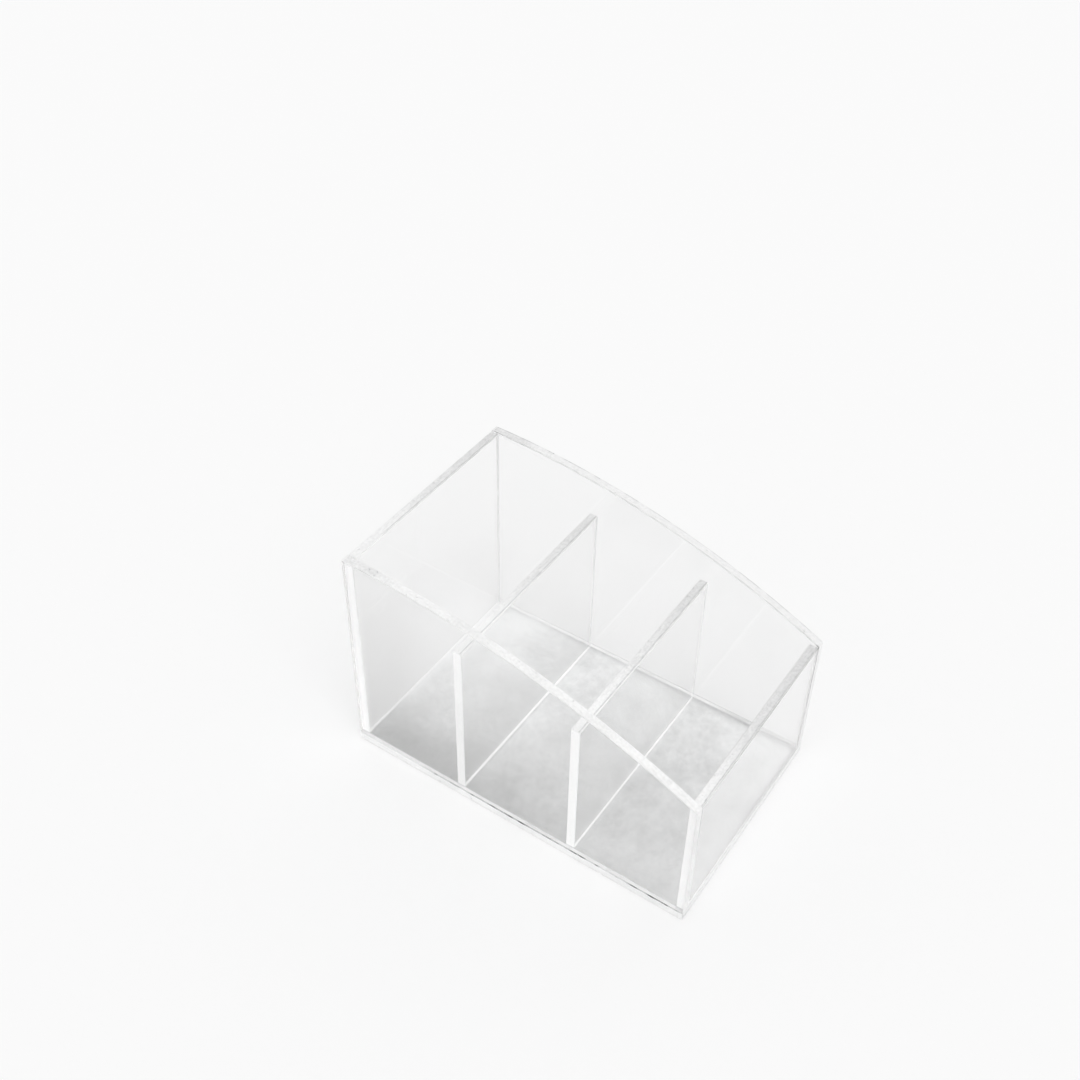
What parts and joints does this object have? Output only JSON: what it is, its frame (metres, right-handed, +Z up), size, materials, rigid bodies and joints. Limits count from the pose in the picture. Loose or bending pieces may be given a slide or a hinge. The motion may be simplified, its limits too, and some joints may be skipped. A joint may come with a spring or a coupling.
{
  "type": "remote control holder",
  "caption": "Open-topped clear acrylic caddy: upright pockets one behind another between arched side sheets that fall to a low front, for standing remote controls in.",
  "frame": {"origin": "middle of the footprint, on the underside of the base sheet", "axes": "+Z up, -Y out of the low front sheet, +Y out of the tall back sheet, +X across the pockets"},
  "size_m": [0.103, 0.16, 0.105],
  "materials": {
    "clear_acrylic": "polished"
  },
  "bodies": {
    "root": {"base_sheet": "clear_acrylic", "left_side_sheet": "clear_acrylic", "right_side_sheet": "clear_acrylic", "back_sheet": "clear_acrylic", "front_sheet": "clear_acrylic", "rear_divider": "clear_acrylic", "front_divider": "clear_acrylic"}
  },
  "joints": []
}
